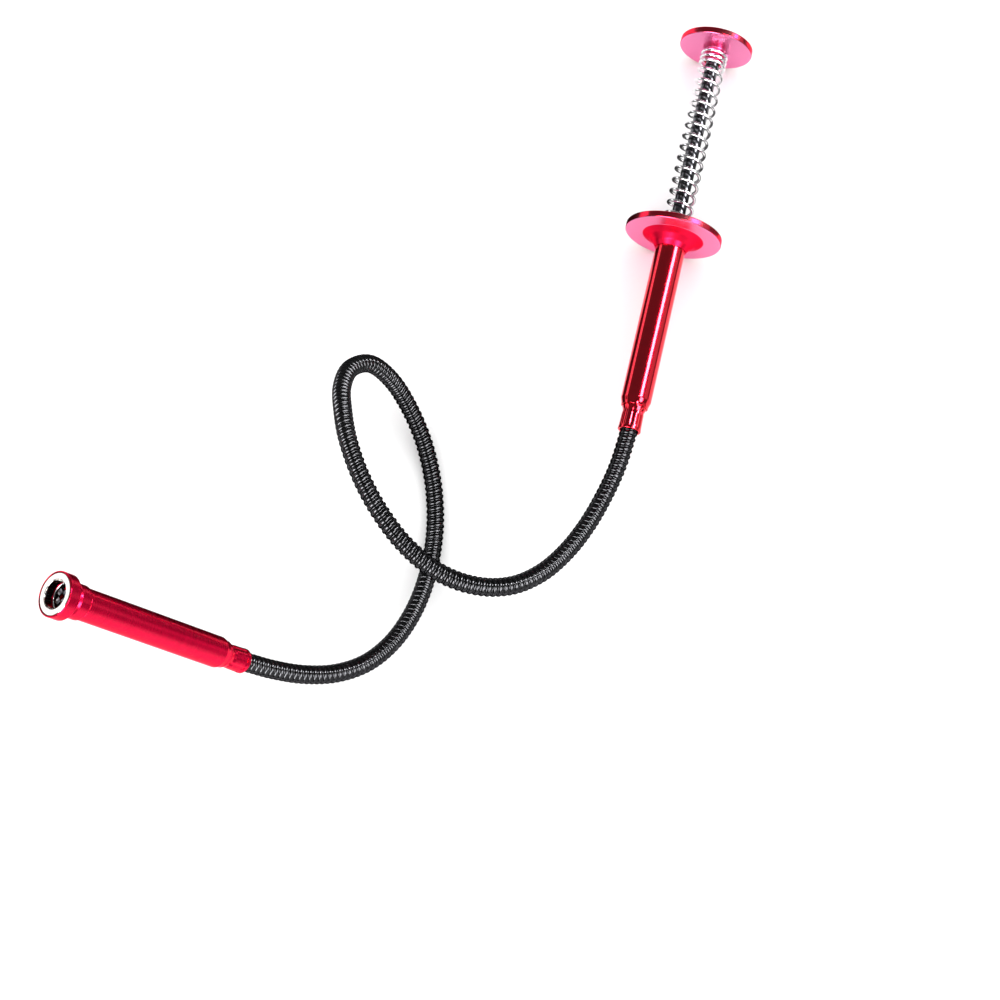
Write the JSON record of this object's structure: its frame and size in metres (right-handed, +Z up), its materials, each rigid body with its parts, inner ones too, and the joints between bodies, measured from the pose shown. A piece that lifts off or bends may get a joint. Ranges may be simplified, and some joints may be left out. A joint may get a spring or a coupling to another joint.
{
  "type": "drain auger",
  "caption": "Flexible drain auger: a spring-return thumb plunger drives spreading wire claws out of a magnet-ringed head on a bendable gooseneck.",
  "frame": {"origin": "on the ground, below the middle of the tool's box as it lies at rest", "axes": "+Z up; +Y towards the thumb disc's end of the handle; -X towards the head"},
  "size_m": [0.2214, 0.2289, 0.1256],
  "materials": {
    "red_anodised": "polished crimson anodising with fine turning lines",
    "black_gooseneck": "glossy black coating on a ribbed steel conduit",
    "spring_chrome": "bright plated spring wire",
    "dark_rod": "dark polished steel",
    "magnet_nickel": "bright nickel plating",
    "plain_steel": "turned steel",
    "cable_steel": "bare steel wire rope",
    "blued_strip": "blued spring steel strip",
    "bush_brass": "turned brass"
  },
  "bodies": {
    "root": {"handle_ferrule": "red_anodised", "handle_tube": "red_anodised", "finger_flange": "red_anodised", "guide_bush": "bush_brass", "gooseneck": "black_gooseneck", "drive_cable": "cable_steel", "head_ferrule": "red_anodised", "head_tube": "red_anodised", "head_collar": "red_anodised", "magnet_ring": "magnet_nickel", "bore_lip": "plain_steel", "return_spring": "spring_chrome"},
    "plunger": {"plunger_rod": "dark_rod", "rod_stop": "plain_steel", "thumb_disc": "red_anodised"},
    "claw": {"claw_carrier": "plain_steel", "cable_crimp": "plain_steel"},
    "claw_root_1": {"claw_root_1": "blued_strip"},
    "claw_tip_1": {"claw_tip_1": "blued_strip"},
    "claw_root_2": {"claw_root_2": "blued_strip"},
    "claw_tip_2": {"claw_tip_2": "blued_strip"},
    "claw_root_3": {"claw_root_3": "blued_strip"},
    "claw_tip_3": {"claw_tip_3": "blued_strip"},
    "claw_root_4": {"claw_root_4": "blued_strip"},
    "claw_tip_4": {"claw_tip_4": "blued_strip"}
  },
  "joints": [
    {"name": "plunger_slide", "type": "slide", "parent": "root", "child": "plunger", "axis": [-0.2384, -0.9697, 0.0534], "range_m": [0, 0.03], "stiffness_N_per_m": 200, "springref_m": -0.01, "deforming": ["return_spring"]},
    {"name": "claw_slide", "type": "slide", "parent": "root", "child": "claw", "axis": [-0.6466, 0.1395, 0.7499], "range_m": [0, 0.03]},
    {"name": "claw_root_hinge_1", "type": "hinge", "parent": "claw", "child": "claw_root_1", "pos_m": [-0.08133, -0.1058, 0.09493], "axis": [0.6675, 0.5794, 0.4678], "range_deg": [0, 1.51]},
    {"name": "claw_tip_hinge_1", "type": "hinge", "parent": "claw_root_1", "child": "claw_tip_1", "pos_m": [-0.09111, -0.10355, 0.10609], "axis": [0.6675, 0.5794, 0.4678], "range_deg": [0, 28.01]},
    {"name": "claw_root_hinge_2", "type": "hinge", "parent": "claw", "child": "claw_root_2", "pos_m": [-0.08074, -0.10304, 0.09493], "axis": [-0.3692, 0.803, -0.4678], "range_deg": [0, 1.51]},
    {"name": "claw_tip_hinge_2", "type": "hinge", "parent": "claw_root_2", "child": "claw_tip_2", "pos_m": [-0.09057, -0.10106, 0.10609], "axis": [-0.3692, 0.803, -0.4678], "range_deg": [0, 28.01]},
    {"name": "claw_root_hinge_3", "type": "hinge", "parent": "claw", "child": "claw_root_3", "pos_m": [-0.08281, -0.10259, 0.09306], "axis": [-0.6675, -0.5794, -0.4678], "range_deg": [0, 1.51]},
    {"name": "claw_tip_hinge_3", "type": "hinge", "parent": "claw_root_3", "child": "claw_tip_3", "pos_m": [-0.09244, -0.10066, 0.1044], "axis": [-0.6675, -0.5794, -0.4678], "range_deg": [0, 28.01]},
    {"name": "claw_root_hinge_4", "type": "hinge", "parent": "claw", "child": "claw_root_4", "pos_m": [-0.08341, -0.10536, 0.09306], "axis": [0.3692, -0.803, 0.4678], "range_deg": [0, 1.51]},
    {"name": "claw_tip_hinge_4", "type": "hinge", "parent": "claw_root_4", "child": "claw_tip_4", "pos_m": [-0.09297, -0.10315, 0.1044], "axis": [0.3692, -0.803, 0.4678], "range_deg": [0, 28.01]}
  ],
  "couplings": [
    {"joint": "claw_slide", "follows": "plunger_slide", "ratio": 1},
    {"joint": "claw_root_hinge_1", "follows": "plunger_slide", "rad_per_m": 0.87266},
    {"joint": "claw_tip_hinge_1", "follows": "plunger_slide", "rad_per_m": 16.29},
    {"joint": "claw_root_hinge_2", "follows": "plunger_slide", "rad_per_m": 0.87266},
    {"joint": "claw_tip_hinge_2", "follows": "plunger_slide", "rad_per_m": 16.29},
    {"joint": "claw_root_hinge_3", "follows": "plunger_slide", "rad_per_m": 0.87266},
    {"joint": "claw_tip_hinge_3", "follows": "plunger_slide", "rad_per_m": 16.29},
    {"joint": "claw_root_hinge_4", "follows": "plunger_slide", "rad_per_m": 0.87266},
    {"joint": "claw_tip_hinge_4", "follows": "plunger_slide", "rad_per_m": 16.29}
  ]
}
